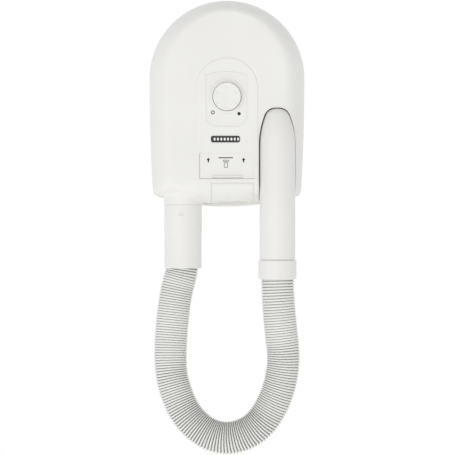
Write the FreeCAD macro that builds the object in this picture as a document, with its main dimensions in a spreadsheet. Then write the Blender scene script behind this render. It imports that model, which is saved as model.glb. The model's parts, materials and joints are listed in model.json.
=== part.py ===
"""A wall-mounted hose hair dryer with a shaver socket, as a parametric FreeCAD document.

The row frame is in millimetres: +Z is up, the wall is the plane Y = 0 and the front of the dryer faces -Y.
The origin is the centre of the wall bracket's four screw holes, on the wall. "Depth" below always means the
distance in front of the wall, so a depth of 86 is Y = -86.
"""

import FreeCAD, Part
import math
import os
import re

import Sketcher
from FreeCAD import Placement, Rotation, Vector

# ---------------------------------------------------------------------------------------------- sizes

SIZES = {
    # housing outline, seen from the front
    "dome_radius": 102.6,
    "dome_z": 30.0,
    "foot_half_width": 98.0,
    "foot_corner_radius": 9.0,
    "tray_corner_z": -124.0,
    "tray_foot_z": -139.4,
    "cover_corner_z": -123.4,
    "cover_foot_z": -135.6,
    # housing in depth
    "wall": 2.6,
    "tray_back": 1.9,
    "tray_foot_wall": 5.8,
    "tray_depth": 22.0,
    "parting_gap": 0.4,
    "straight_depth": 34.0,
    "cover_depth": 86.0,
    "side_inset": 27.0,
    "crown_inset": 18.0,
    "foot_inset": 25.0,
    "corner_inset": 14.0,
    # wall bracket
    "bracket_width": 140.0,
    "bracket_height": 116.0,
    "bracket_plate": 1.5,
    "screw_spacing_x": 110.0,
    "screw_spacing_z": 90.0,
    "screw_hole_radius": 2.6,
    "driver_hole_radius": 6.0,
    "hook_z": 46.0,
    "hook_x": 40.0,
    "cable_z": 12.0,
    "cable_radius": 4.2,
    # console, dial and knob
    "console_half_width": 40.4,
    "console_arch_z": 14.4,
    "console_foot_z": -107.6,
    "console_plate": 1.2,
    "dial_left": -27.4,
    "dial_right": 26.2,
    "dial_top": 36.8,
    "dial_foot": -35.0,
    "dial_corner": 14.0,
    "dial_plate_thickness": 0.7,
    "trim_fit": 0.15,
    "knob_z": 4.1,
    "knob_radius": 18.3,
    "knob_height": 8.4,
    "knob_rim": 1.2,
    "knob_gap": 0.6,
    "hollow_radius": 7.0,
    "hollow_depth": 0.9,
    "hollow_circle": 13.6,
    "spindle_radius": 3.0,
    "bead_radius": 23.0,
    # shaver socket and its door
    "window_left": -36.4,
    "window_right": 35.8,
    "window_top": -70.1,
    "window_foot": -103.9,
    "door_lap": 2.0,
    "door_front": 85.7,
    "door_thickness": 1.6,
    "door_travel": 29.4,
    "lip_rise": 2.2,
    "lip_height": 1.9,
    "lip_half_width": 20.0,
    "door_groove": 0.8,
    "door_groove_depth": 1.1,
    "socket_face": 75.0,
    "socket_block": 16.0,
    "pin_radius": 2.7,
    "pin_pitch": 16.6,
    "outlet_offset": 17.0,
    "socket_z": -88.5,
    # chin: filter cover with the air intake under it
    "chin_left": -20.5,
    "chin_right": 34.4,
    "chin_top": -109.4,
    "chin_seam": 0.25,
    "intake_slot": 2.4,
    "intake_pitch": 4.8,
    # handle, its cradle and its cuff
    "handle_x": 66.2,
    "handle_depth": 78.0,
    "handle_half_width": 23.3,
    "handle_shoulder_z": -59.7,
    "handle_foot_z": -209.6,
    "handle_wall": 2.2,
    "handle_side_radius": 110.0,
    "handle_lean": 21.0,
    "handle_corner_radius": 14.5,
    "cradle_gap": 0.8,
    "cradle_shift": 0.35,
    "cradle_wall": 2.4,
    "cradle_floor": 52.6,
    "cuff_gap": 0.4,
    "outlet_seam": 0.2,
    "clearance": 0.3,
    "handle_cuff_radius": 25.0,
    "handle_cuff_foot_z": -234.8,
    "nozzle_radius": 11.0,
    "grille_rib": 2.2,
    "handle_neck_foot_z": -221.0,
    "handle_magnet_z": -65.0,
    "magnet_radius": 5.0,
    # air outlet and its cuff
    "outlet_x": -58.0,
    "outlet_depth": 50.0,
    "neck_radius": 24.8,
    "neck_foot_z": -137.4,
    "neck_blend": 6.0,
    "spigot_radius": 22.4,
    "spigot_wall": 2.0,
    "spigot_foot_z": -165.0,
    "cuff_foot_z": -221.2,
    "running_fit": 0.05,
    # hose
    "hose_radius": 21.5,
    "hose_wall": 1.2,
    # blower and heater
    "duct_radius": 26.5,
    "duct_wall": 1.5,
    "heater_foot_z": -62.0,
    "heater_top_z": 30.0,
    "blower_top_z": 60.0,
    "motor_radius": 16.5,
    "motor_foot_z": 53.0,
    "motor_top_z": 88.0,
    "shaft_radius": 1.6,
    "fan_radius": 24.3,
    "fan_foot_z": 37.0,
    "fan_top_z": 49.0,
    # cradle switch
    "plunger_radius": 3.0,
    "plunger_z": -80.0,
}

doc = FreeCAD.newDocument("hose_hair_dryer")
sheet = doc.addObject("Spreadsheet::Sheet", "Sizes")
for row, (alias, value) in enumerate(SIZES.items(), 1):
    sheet.set(f"A{row}", alias)
    sheet.set(f"B{row}", str(value))
    sheet.setAlias(f"B{row}", alias)
doc.recompute()


def linked(expression):
    """The expression with the spreadsheet's name in front of each alias."""
    return re.sub(
        r"[a-z_]\w*",
        lambda word: "Sizes." + word[0] if word[0] in SIZES else word[0],
        str(expression),
    )


def mm(expression):
    """The value of an expression of the sheet's aliases, as a plain number."""
    found = sheet.evalExpression(linked(expression))
    return float(getattr(found, "Value", found))


def bind(thing, prop, expression):
    thing.setExpression(prop, linked(expression))


# ------------------------------------------------------------------------------- primitives and booleans

TURNED = {"x": Rotation(Vector(0, 1, 0), 90), "y": Rotation(Vector(1, 0, 0), -90), "z": Rotation()}


def place(thing, x, y, z):
    for axis, expression in zip("xyz", (x, y, z)):
        bind(thing, f"Placement.Base.{axis}", expression)


def box(name, x, depth, z):
    """A block between pairs of expressions: left and right, back and front depth, bottom and top."""
    made = doc.addObject("Part::Box", name)
    bind(made, "Length", f"({x[1]}) - ({x[0]})")
    bind(made, "Width", f"({depth[1]}) - ({depth[0]})")
    bind(made, "Height", f"({z[1]}) - ({z[0]})")
    place(made, x[0], f"-({depth[1]})", z[0])
    return made


def rod(name, radius, axis, at, span):
    """A cylinder along x, y (depth) or z, at its two other coordinates, over a span of the axis."""
    made = doc.addObject("Part::Cylinder", name)
    made.Placement = Placement(Vector(), TURNED[axis])
    bind(made, "Radius", radius)
    bind(made, "Height", f"({span[1]}) - ({span[0]})")
    if axis == "z":
        place(made, at[0], f"-({at[1]})", span[0])
    elif axis == "y":
        place(made, at[0], f"-({span[1]})", at[1])
    else:
        place(made, span[0], f"-({at[0]})", at[1])
    return made


def ball(name, radius, x, depth, z):
    made = doc.addObject("Part::Sphere", name)
    bind(made, "Radius", radius)
    place(made, x, f"-({depth})", z)
    return made


def fuse(name, *shapes):
    made = doc.addObject("Part::MultiFuse", name)
    made.Shapes = list(shapes)
    made.Refine = True
    return made


def group(name, *shapes):
    """Separate solids that share one node."""
    made = doc.addObject("Part::Compound", name)
    made.Links = list(shapes)
    return made


def cut(name, base, *tools):
    made = doc.addObject("Part::Cut", name)
    made.Base = base
    made.Tool = tools[0] if len(tools) == 1 else fuse(name + "_tools", *tools)
    made.Refine = True
    return made


def common(name, *shapes):
    made = doc.addObject("Part::MultiCommon", name)
    made.Shapes = list(shapes)
    made.Refine = True
    return made


def pipe(name, outer, inner, axis, at, span):
    outside = rod(name + "_outside", outer, axis, at, span)
    return cut(name, outside, rod(name + "_bore", inner, axis, at, span))


def solid(name, shape):
    """A piece whose shape is made by Part's own functions."""
    made = doc.addObject("Part::Feature", name)
    made.Shape = shape
    return made


# --------------------------------------------------------------------------------------- PartDesign help


def body(name):
    return doc.addObject("PartDesign::Body", name)


def sketch(part, name, plane, x="0", y="0", out="0"):
    """A sketch on one of the body's origin planes, moved along it and out of it."""
    made = part.newObject("Sketcher::SketchObject", name)
    origin = next(f for f in part.Origin.OriginFeatures if f.Role == plane + "_Plane")
    made.AttachmentSupport = (origin, [""])
    made.MapMode = "FlatFace"
    for axis, expression in zip("xyz", (x, y, out)):
        bind(made, f"AttachmentOffset.Base.{axis}", expression)
    return made


def dimension(drawn, kind, *where_and_size):
    *where, size = where_and_size
    index = drawn.addConstraint(Sketcher.Constraint(kind, *where, mm(size)))
    bind(drawn, f"Constraints[{index}]", size)


def arc_between(start, end, radius):
    """The short arc from start to end; a positive radius runs anticlockwise."""
    chord = end - start
    half = chord.Length / 2
    rise = math.sqrt(max(radius * radius - half * half, 0.0))
    left = Vector(-chord.y, chord.x, 0).normalize()
    centre = start + chord / 2 + left * math.copysign(rise, radius)
    first, last = (start, end) if radius > 0 else (end, start)
    angles = [math.atan2(p.y - centre.y, p.x - centre.x) for p in (first, last)]
    return Part.ArcOfCircle(Part.Circle(centre, Vector(0, 0, 1), abs(radius)), *angles)


def outline(drawn, corners):
    """A closed outline of corners: (x, y) before a straight edge, or (x, y, radius) before an arc."""
    points = [Vector(mm(c[0]), mm(c[1]), 0) for c in corners]
    first = drawn.GeometryCount
    ends = []
    for i, corner in enumerate(corners):
        start, end = points[i], points[(i + 1) % len(points)]
        if len(corner) == 2:
            drawn.addGeometry(Part.LineSegment(start, end), False)
            ends.append((1, 2))
        else:
            radius = mm(corner[2])
            drawn.addGeometry(arc_between(start, end, radius), False)
            ends.append((1, 2) if radius > 0 else (2, 1))
    for i, corner in enumerate(corners):
        here, after = first + i, first + (i + 1) % len(corners)
        drawn.addConstraint(
            Sketcher.Constraint("Coincident", here, ends[i][1], after, ends[(i + 1) % len(corners)][0])
        )
        dimension(drawn, "DistanceX", -1, 1, here, ends[i][0], corner[0])
        dimension(drawn, "DistanceY", -1, 1, here, ends[i][0], corner[1])
        if len(corner) == 3:
            dimension(drawn, "Radius", here, f"abs({corner[2]})")


def rounded_rectangle(left, right, foot, top, radius):
    """Corners for outline(): a rectangle with quarter-round corners, anticlockwise from its lower left."""
    return [
        (f"{left} + {radius}", foot),
        (f"{right} - {radius}", foot, radius),
        (right, f"{foot} + {radius}"),
        (right, f"{top} - {radius}", radius),
        (f"{right} - {radius}", top),
        (f"{left} + {radius}", top, radius),
        (left, f"{top} - {radius}"),
        (left, f"{foot} + {radius}", radius),
    ]


def arch(half_width, foot, centre):
    """Corners for outline(): straight sides under a half circle."""
    return [
        (f"-({half_width})", foot),
        (half_width, foot),
        (half_width, centre, half_width),
        ("0", f"{centre} + {half_width}", half_width),
        (f"-({half_width})", centre),
    ]


def circle(drawn, x, y, radius):
    index = drawn.addGeometry(Part.Circle(Vector(mm(x), mm(y), 0), Vector(0, 0, 1), mm(radius)), False)
    dimension(drawn, "DistanceX", -1, 1, index, 3, x)
    dimension(drawn, "DistanceY", -1, 1, index, 3, y)
    dimension(drawn, "Radius", index, radius)


def pad(part, drawn, length):
    made = part.newObject("PartDesign::Pad", drawn.Name + "_pad")
    made.Profile = drawn
    bind(made, "Length", length)
    return made


def plate(name, corners, depth, holes=()):
    """A body padded forwards from one depth to another, with its holes in the same sketch."""
    made = body(name)
    drawn = sketch(made, name + "_outline", "XZ", out=depth[0])
    outline(drawn, corners)
    for hole in holes:
        if isinstance(hole, tuple):
            circle(drawn, *hole)
        else:
            outline(drawn, hole)
    pad(made, drawn, f"({depth[1]}) - ({depth[0]})")
    return made


def turned(name, axis, at, profile):
    """A body of revolution from (radius, place along the axis) corners; on axis y the place is the depth."""
    made = body(name)
    if axis == "z":
        drawn = sketch(made, name + "_profile", "XZ", x=at[0], out=at[1])
        outline(drawn, profile)
    else:
        drawn = sketch(made, name + "_profile", "YZ", y=at[1], out=at[0])
        outline(drawn, [(f"-({p[1]})", p[0], *p[2:]) for p in profile])
    spun = made.newObject("PartDesign::Revolution", name + "_turned")
    spun.Profile = drawn
    spun.ReferenceAxis = (drawn, ["V_Axis" if axis == "z" else "H_Axis"])
    spun.Angle = 360
    return made


def rounded(part, kind, size, chosen):
    """Fillets or chamfers the edges of the body's tip for which chosen(edge) is true."""
    doc.recompute()
    edges = [f"Edge{i}" for i, e in enumerate(part.Tip.Shape.Edges, 1) if chosen(e)]
    base = part.Tip
    made = part.newObject("PartDesign::" + kind, f"{part.Name}_{kind.lower()}_{len(part.Group)}")
    made.Base = (base, edges)
    bind(made, "Radius" if kind == "Fillet" else "Size", size)
    part.Tip = made
    return part


def at_depth(depth):
    """Chooses edges that lie in the plane of that depth."""
    return lambda e: e.BoundBox.YLength < 1e-4 and abs(e.BoundBox.YMin + mm(depth)) < 1e-4


def around(centre, reach):
    """A span that reaches as far either side of a centre."""
    return (f"{centre} - {reach}", f"{centre} + {reach}")


def behind(near, far):
    """A span of depths that far behind the handle's own centre line."""
    return (f"handle_depth - {near}", f"handle_depth - {far}")


def cross(name, reach, half_thickness, z):
    """Two boards crossing on the duct's axis."""
    across = box(f"{name}_across", around("outlet_x", reach), around("outlet_depth", half_thickness), z)
    along = box(f"{name}_along", around("outlet_x", half_thickness), around("outlet_depth", reach), z)
    return [across, along]


NODES = []


def node(name, thing):
    """Keeps a finished sub-part under the name of its file."""
    thing.Label = name
    NODES.append(thing)
    return thing


# ------------------------------------------------------------------------------------- housing sections


def meeting_circle(first, first_radius, second, second_radius, radius):
    """Centre of the circle of that radius that touches two larger circles from inside, lower right."""
    a, b = first_radius - radius, second_radius - radius
    line = second - first
    along = (a * a - b * b + line.Length**2) / (2 * line.Length)
    across = math.sqrt(a * a - along * along)
    unit = line / line.Length
    options = [first + unit * along + Vector(-unit.z, 0, unit.x) * s for s in (across, -across)]
    return max(options, key=lambda p: p.x)


def housing_section(depth, half_width, rise, foot_half_width, corner_z, foot_z, corner_radius):
    """One outline of the housing: elliptic dome, slightly bowed sides, round corners and a sagging foot."""
    y = -depth
    dome_z = mm("dome_z")
    stretch = FreeCAD.Matrix(half_width, 0, 0, 0, 0, 0, -1, y, 0, rise, 0, dome_z, 0, 0, 0, 1)
    dome = Part.Circle().toShape(0, math.pi).transformGeometry(stretch).Edges[0]
    lean = half_width - foot_half_width
    tall = dome_z - corner_z
    side_radius = (lean * lean + tall * tall) / (2 * lean)
    sag = corner_z - foot_z
    foot_radius = (foot_half_width**2 + sag * sag) / (2 * sag)
    side_centre = Vector(half_width - side_radius, 0, dome_z)
    foot_centre = Vector(0, 0, foot_z + foot_radius)
    corner = meeting_circle(side_centre, side_radius, foot_centre, foot_radius, corner_radius)
    on_side = side_centre + (corner - side_centre).normalize() * side_radius
    on_foot = foot_centre + (corner - foot_centre).normalize() * foot_radius
    outwards = (on_side - corner).normalize() + (on_foot - corner).normalize()
    inner = corner + outwards.normalize() * corner_radius
    angle = math.asin((dome_z - on_side.z) / side_radius) / 2
    mid_side = side_centre + Vector(math.cos(angle), 0, -math.sin(angle)) * side_radius

    def arc(*points):
        return Part.Arc(*[Vector(p.x, y, p.z) for p in points]).toShape()

    def left(p):
        return Vector(-p.x, 0, p.z)

    right_end = Vector(half_width, 0, dome_z)
    return Part.Wire(
        [
            dome,
            arc(left(right_end), left(mid_side), left(on_side)),
            arc(left(on_side), left(inner), left(on_foot)),
            arc(left(on_foot), Vector(0, 0, foot_z), on_foot),
            arc(on_foot, inner, on_side),
            arc(on_side, mid_side, right_end),
        ]
    )


def cover_section(depth, share, skin):
    """The cover's outline at a depth, drawn in by a share of the rounding, skin mm inside its outside."""
    thin = 1 - skin / mm("side_inset")
    return housing_section(
        depth,
        mm("dome_radius") - skin - share * mm("side_inset") * thin,
        mm("dome_radius") - skin - share * mm("crown_inset") * thin,
        mm("foot_half_width") - skin - share * mm("side_inset") * thin,
        mm("cover_corner_z") + skin + share * mm("corner_inset") * thin,
        mm("cover_foot_z") + skin + share * mm("foot_inset") * thin,
        mm("foot_corner_radius") - skin / 2,
    )


def cover_solid(skin):
    """The cover filled solid: straight sides, then a front that rounds over like a quarter ellipse."""
    back, straight, front = mm("tray_depth + parting_gap"), mm("straight_depth"), mm("cover_depth") - skin
    rear = Part.Face(cover_section(back, 0, skin)).extrude(Vector(0, back - straight, 0))
    steps = 9
    rings = []
    for i in range(steps + 1):
        angle = math.pi / 2 * i / steps
        depth = straight + (front - straight) * math.sin(angle)
        rings.append(cover_section(depth, 1 - math.cos(angle), skin))
    return rear.fuse(Part.makeLoft(rings, True, False)).removeSplitter()


def tray_prism(name, skin, foot_skin, back, front):
    """A straight piece of the rear housing, skin mm inside its outside and foot_skin mm at its foot."""
    section = housing_section(
        mm(back),
        mm("dome_radius") - skin,
        mm("dome_radius") - skin,
        mm("foot_half_width") - skin,
        mm("tray_corner_z") + foot_skin,
        mm("tray_foot_z") + foot_skin,
        mm("foot_corner_radius") - skin / 2,
    )
    return solid(name, Part.Face(section).extrude(Vector(0, mm(f"({back}) - ({front})"), 0)))


# ------------------------------------------------------------------------------- wall bracket and tray

half_x, half_z = "screw_spacing_x / 2", "screw_spacing_z / 2"
screw_holes = [
    (f"{x} * {half_x}", f"{z} * {half_z}", "screw_hole_radius") for x in (-1, 1) for z in (-1, 1)
]
bracket_plate = plate(
    "bracket_plate_body",
    rounded_rectangle(
        "-bracket_width / 2", "bracket_width / 2", "-bracket_height / 2", "bracket_height / 2", "8"
    ),
    ("0", "bracket_plate"),
    screw_holes + [rounded_rectangle("-26", "26", "-22", "32", "6")],
)
hooks = []
for side, name in ((-1, "left"), (1, "right")):
    x = (f"{side} * hook_x - 5", f"{side} * hook_x + 5")
    hooks.append(box(f"hook_tongue_{name}", x, ("bracket_plate - 0.5", "6.4"), ("hook_z - 2", "hook_z")))
    hooks.append(box(f"hook_lip_{name}", x, ("4.6", "6.4"), ("hook_z - 1", "hook_z + 5")))
node("wall_bracket", fuse("bracket", bracket_plate, *hooks))

tray_floor = "tray_back + 2.4"
tray_outside = tray_prism("tray_outside", 0, 0, "clearance", "tray_depth")
tray_inside = tray_prism("tray_inside", mm("wall"), mm("tray_foot_wall"), tray_floor, "tray_depth + 1")
tray_hollow = tray_prism("tray_hollow", mm("wall"), mm("wall"), "0", "tray_back")
POSTS = (
    ("-90.5", "52", "84"),
    ("-89.5", "-92", "84"),
    ("90", "48", "84"),
    ("20", "116", "84"),
    ("84", "-112", "cradle_floor - 1"),
)
tray_posts, tray_holes, cover_posts, cover_holes, screws = [], [], [], [], []
for i, (x, z, front) in enumerate(POSTS, 1):
    tray_posts.append(rod(f"tray_post_{i}", "4.4", "y", (x, z), (tray_floor, "tray_depth")))
    tray_holes.append(rod(f"tray_screw_way_{i}", "1.7", "y", (x, z), ("tray_back", "tray_depth + 1")))
    tray_holes.append(rod(f"tray_head_way_{i}", "3.4", "y", (x, z), ("0", tray_floor)))
    cover_posts.append(rod(f"cover_post_{i}", "4.0", "y", (x, z), ("tray_depth + parting_gap", front)))
    cover_holes.append(rod(f"cover_screw_way_{i}", "1.5", "y", (x, z), ("tray_depth", "36")))
    shank = rod(f"screw_shank_{i}", "1.5", "y", (x, z), (tray_floor, "35"))
    head = rod(f"screw_head_{i}", "3.0", "y", (x, z), ("tray_back", tray_floor))
    screws.append(fuse(f"cover_screw_{i}", shank, head))

# A transformer stands on two of the tray's blocks, the cradle switch on a third.
transformer_back = "16"
switch_back = "19"
tray_blocks = [
    box("transformer_block_left", ("12.5", "17.5"), ("tray_back + 1", transformer_back), ("56", "66")),
    box("transformer_block_right", ("50.5", "55.5"), ("tray_back + 1", transformer_back), ("56", "66")),
    box(
        "switch_block",
        ("handle_x - 6", "handle_x + 6"),
        ("tray_back + 1", switch_back),
        ("plunger_z - 6", "plunger_z + 6"),
    ),
]
tray_openings = [
    rod(
        f"driver_way_{i}",
        "driver_hole_radius",
        "y",
        (f"{x} * {half_x}", f"{z} * {half_z}"),
        ("0", "8"),
    )
    for i, (x, z) in enumerate(((-1, -1), (1, -1), (-1, 1), (1, 1)), 1)
]
tray_openings.append(rod("cable_way", "8", "y", ("0", "cable_z"), ("0", "8")))
for side, name in ((-1, "left"), (1, "right")):
    x = (f"{side} * hook_x - 6", f"{side} * hook_x + 6")
    tray_openings.append(box(f"hook_slot_{name}", x, ("0", "8"), ("hook_z - 5", "hook_z")))
tray_shell = cut("tray_shell", tray_outside, tray_inside, tray_hollow)
tray_raised = fuse("tray_raised", tray_shell, *tray_posts, *tray_blocks)
node("back_tray", cut("tray", tray_raised, *tray_holes, *tray_openings))
node("cover_screws", group("cover_screw_set", *screws))

grommet = turned(
    "grommet",
    "y",
    ("0", "cable_z"),
    [
        ("cable_radius", "0.6"),
        ("9.4", "0.6"),
        ("9.4", "tray_back"),
        ("8", "tray_back"),
        ("8", tray_floor),
        ("10", tray_floor),
        ("8.4", "7.4"),
        ("cable_radius", "7.4"),
    ],
)
node("cable_grommet", grommet)

# ----------------------------------------------------------------------------------------- front cover

arc_reach = "(handle_side_radius - handle_corner_radius)"
corner_x = f"(handle_half_width - handle_side_radius + {arc_reach} * cos(handle_lean))"
corner_z = f"(handle_shoulder_z + {arc_reach} * sin(handle_lean))"


def handle_outline(grow, foot, x="handle_x"):
    """The handle's front view round a centre line at x, grown sideways and upwards, down to a foot."""
    side = f"(handle_half_width + {grow})"
    reach = f"(handle_side_radius + {grow})"
    lean_x = f"(handle_half_width - handle_side_radius + {reach} * cos(handle_lean))"
    lean_z = f"handle_shoulder_z + {reach} * sin(handle_lean)"
    top = f"{corner_z} + handle_corner_radius + {grow}"
    return [
        (f"{x} - {side}", foot),
        (f"{x} + {side}", foot),
        (f"{x} + {side}", "handle_shoulder_z", reach),
        (f"{x} + {lean_x}", lean_z, f"(handle_corner_radius + {grow})"),
        (f"{x} + {corner_x}", top),
        (f"{x} - {corner_x}", top, f"(handle_corner_radius + {grow})"),
        (f"{x} - {lean_x}", lean_z, reach),
        (f"{x} - {side}", "handle_shoulder_z"),
    ]


cradle_back = "cradle_floor - cradle_wall"
cradle_block = plate(
    "cradle_block", handle_outline("cradle_gap + cradle_wall", "-150"), (cradle_back, "cover_depth + 2")
)
cradle_room = plate(
    "cradle_room",
    handle_outline("cradle_gap", "-160", "(handle_x - cradle_shift)"),
    ("cradle_floor", "cover_depth + 10"),
)


def cover_with_neck():
    """The filled cover with the air outlet's neck, softly blended where the two meet."""
    foot = Vector(mm("outlet_x"), -mm("outlet_depth"), mm("neck_foot_z"))
    radius = mm("neck_radius")
    joined = cover_solid(0).fuse(Part.makeCylinder(radius, 20, foot)).removeSplitter()

    def on_neck(point):
        return abs(math.hypot(point.x - foot.x, point.y - foot.y) - radius) < 0.05

    meeting = [
        e
        for e in joined.Edges
        if e.BoundBox.ZMin > foot.z + 0.1 and all(on_neck(p) for p in e.discretize(9))
    ]
    return joined.makeFillet(mm("neck_blend"), meeting)


cover_outside = solid("cover_outside", cover_with_neck())
cover_inside = solid("cover_inside", cover_solid(mm("wall")))
cradle_walls = common("cradle_walls", cover_outside, cradle_block)
*cover_posts, cradle_post = cover_posts
posts_inside = common("posts_inside", cover_outside, fuse("cover_post_set", *cover_posts))
board_posts = [
    rod(f"board_post_{i}", "3", "y", (x, z), ("63.6", "84.4"))
    for i, (x, z) in enumerate((("-26", "-24"), ("26", "-24"), ("-26", "29"), ("26", "29")), 1)
]
cover_skin = cut("cover_skin", cover_outside, cover_inside)
slot = ("window_left - door_lap", "window_right + door_lap")
slot_z = ("window_foot - door_lap", "window_top + door_travel + door_lap")
chin_z = ("-160", "chin_top + chin_seam")
cover_openings = [
    cradle_block,
    box("door_slot", slot, ("70", "95"), slot_z),
    box("chin_way", ("chin_left - chin_seam", "chin_right + chin_seam"), ("20", "95"), chin_z),
    rod("neck_bore", "spigot_radius", "z", ("outlet_x", "outlet_depth"), ("-150", "-110")),
    rod("knob_well", "knob_radius + knob_gap", "y", ("0", "knob_z"), ("80", "90")),
]
cover_raised = fuse("cover_raised", cover_skin, posts_inside, *board_posts)
node("front_cover", cut("cover", cover_raised, *cover_openings, *cover_holes))

plunger_way = rod(
    "plunger_way",
    "plunger_radius + running_fit",
    "y",
    ("handle_x", "plunger_z"),
    ("cradle_floor - 6", "cradle_floor + 1"),
)
cradle_raised = fuse("cradle_raised", cradle_walls, cradle_post)
node("handle_cradle", cut("cradle", cradle_raised, cradle_room, plunger_way, *cover_holes))

chin_block = box("chin_block", ("chin_left", "chin_right"), ("20", "95"), ("-160", "chin_top"))
chin_ribs = []
for name, x in (("left", ("-18", "-15")), ("right", ("29", "32"))):
    rib_block = box(f"chin_rib_block_{name}", x, ("26", "60"), ("-140", "-124"))
    chin_ribs.append(common(f"chin_rib_{name}", cover_outside, rib_block))
intake_slots = [
    box(
        f"intake_slot_{i}",
        ("-13", "27"),
        (f"30 + {i} * intake_pitch", f"30 + {i} * intake_pitch + intake_slot"),
        ("-150", "-126"),
    )
    for i in range(6)
]
pip = ball("latch_pip", "1.8", "2", "71.8", "-127.6")
chin = common("chin_skin", cover_skin, chin_block)
node("filter_cover", cut("chin", fuse("chin_raised", chin, *chin_ribs, pip), *intake_slots))
node("intake_filter", box("filter_foam", ("-15", "29"), ("28", "60"), ("-128.9", "-125.9")))

# --------------------------------------------------------------------------- console, dial, knob, badge


def dial_outline(grow):
    """The dial's recess: round lower corners and a slightly arched top."""
    corner = f"(dial_corner + {grow})"
    left, right, foot = f"dial_left - {grow}", f"dial_right + {grow}", f"dial_foot - {grow}"
    side_top = f"dial_top - 4 + {grow}"
    return [
        (f"{left} + {corner}", foot),
        (f"{right} - {corner}", foot, corner),
        (right, f"{foot} + {corner}"),
        (right, side_top, "90"),
        (left, side_top),
        (left, f"{foot} + {corner}", corner),
    ]


console = plate(
    "console",
    arch("console_half_width", "console_foot_z", "console_arch_z"),
    ("cover_depth", "cover_depth + console_plate"),
    [
        dial_outline("trim_fit"),
        rounded_rectangle("window_left", "window_right", "window_foot", "window_top", "1.2"),
    ],
)
console_front = at_depth("cover_depth + console_plate")
rounded(console, "Fillet", "0.8", lambda e: console_front(e) and e.BoundBox.DiagonalLength > 78)
node("console_panel", console)

dial_front = "cover_depth + dial_plate_thickness"
dial = plate(
    "dial", dial_outline("0"), ("cover_depth", dial_front), [("0", "knob_z", "knob_radius + knob_gap")]
)
bead = turned(
    "dial_bead",
    "y",
    ("0", "knob_z"),
    [
        ("bead_radius - 1", f"{dial_front} - 0.3"),
        ("bead_radius + 1", f"{dial_front} - 0.3"),
        ("bead_radius + 0.5", f"{dial_front} + 0.35"),
        ("bead_radius - 0.5", f"{dial_front} + 0.35"),
    ],
)
node("dial_plate", fuse("dial_with_bead", dial, bead))
cold_mark = pipe("cold_mark", "2.5", "1.6", "y", ("-18.5", "-16.6"), (dial_front, f"{dial_front} + 0.15"))
hot_mark = rod("hot_mark", "2.2", "y", ("15.8", "-18.3"), (dial_front, f"{dial_front} + 0.15"))
node("dial_marks", group("dial_mark_set", cold_mark, hot_mark))

# The knob is a cap whose skirt reaches back through the cover's well, with hollows for the fingertips.
hub_back = f"{dial_front} + clearance"
knob_front = f"{hub_back} + knob_height"
spindle_end = f"{knob_front} - 3"
knob_cap = turned(
    "knob_cap",
    "y",
    ("0", "knob_z"),
    [
        ("0", spindle_end),
        ("spindle_radius", spindle_end),
        ("spindle_radius", hub_back),
        ("knob_radius - 2", hub_back),
        ("knob_radius - 2", "cover_depth - 1.6"),
        ("knob_radius", "cover_depth - 1.6"),
        ("knob_radius", f"{knob_front} - knob_rim", "knob_rim"),
        ("knob_radius - knob_rim", knob_front),
        ("knob_radius - 8", f"{knob_front} - 0.2"),
        ("0", f"{knob_front} - 0.6"),
    ],
)
finger_hollows = [
    ball(
        f"finger_hollow_{i}",
        "hollow_radius",
        f"hollow_circle * cos({i * 60 + 30} deg)",
        f"{knob_front} + hollow_radius - hollow_depth",
        f"knob_z + hollow_circle * sin({i * 60 + 30} deg)",
    )
    for i in range(6)
]
node("temperature_knob", cut("knob", knob_cap, *finger_hollows))
spindle = rod("spindle", "spindle_radius", "y", ("0", "knob_z"), ("70", spindle_end))
node("knob_spindle", spindle)

badge_front = "cover_depth + console_plate + 0.6"
badge = plate(
    "badge_body",
    rounded_rectangle("-21", "17", "-55.9", "-47.3", "2.6"),
    ("cover_depth + console_plate", badge_front),
)
node("badge", badge)
badge_bars = body("badge_bars_body")
drawn = sketch(badge_bars, "badge_bars_outline", "XZ", out=badge_front)
for i in range(8):
    bar = f"(-17.4 + {i} * 4.4)"
    outline(drawn, rounded_rectangle(bar, f"{bar} + 2.4", "-53.4", "-49.8", "1.1"))
pad(badge_bars, drawn, "0.1")
node("badge_bars", badge_bars)

# --------------------------------------------------------------------------- shaver socket and its door

door_back = "door_front - door_thickness"
door_plate = box(
    "door_plate",
    ("window_left - door_lap + clearance", "window_right + door_lap - clearance"),
    (door_back, "door_front"),
    ("window_foot - door_lap + 0.4", "window_top + door_lap - 0.4"),
)
lip_foot = "window_foot + lip_rise"
lip_width = ("-lip_half_width", "lip_half_width")
door_lip = box(
    "door_lip", lip_width, ("door_front - 0.5", "door_front + 2.6"), (lip_foot, f"{lip_foot} + lip_height")
)
# Grooves run inside the window's left edge, along its foot and under the finger lip.
groove_depth = ("door_front - door_groove_depth", "door_front + 1")
door_grooves = [
    box(
        "groove_left",
        ("window_left", "window_left + door_groove"),
        groove_depth,
        ("window_foot", "window_top + 1"),
    ),
    box(
        "groove_foot",
        ("window_left", "window_right"),
        groove_depth,
        ("window_foot", "window_foot + door_groove"),
    ),
    box("groove_under_lip", lip_width, groove_depth, (f"{lip_foot} - door_groove", lip_foot)),
]
door_grooved = cut("door_grooved", door_plate, *door_grooves)
node("shaver_door", fuse("door", door_grooved, door_lip))


def arrow(x):
    """Corners of a small upward arrow."""
    return [
        (f"{x} - 0.8", "-82"),
        (f"{x} + 0.8", "-82"),
        (f"{x} + 0.8", "-79"),
        (f"{x} + 2.4", "-79"),
        (x, "-76"),
        (f"{x} - 2.4", "-79"),
        (f"{x} - 0.8", "-79"),
    ]


def ring(left, right, foot, top, radius, stroke="0.55"):
    """The two outlines of a rounded rectangle drawn with a pen of that stroke."""
    return [
        rounded_rectangle(left, right, foot, top, radius),
        rounded_rectangle(
            f"({left} + {stroke})",
            f"({right} - {stroke})",
            f"({foot} + {stroke})",
            f"({top} - {stroke})",
            f"({radius} - {stroke})",
        ),
    ]


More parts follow.
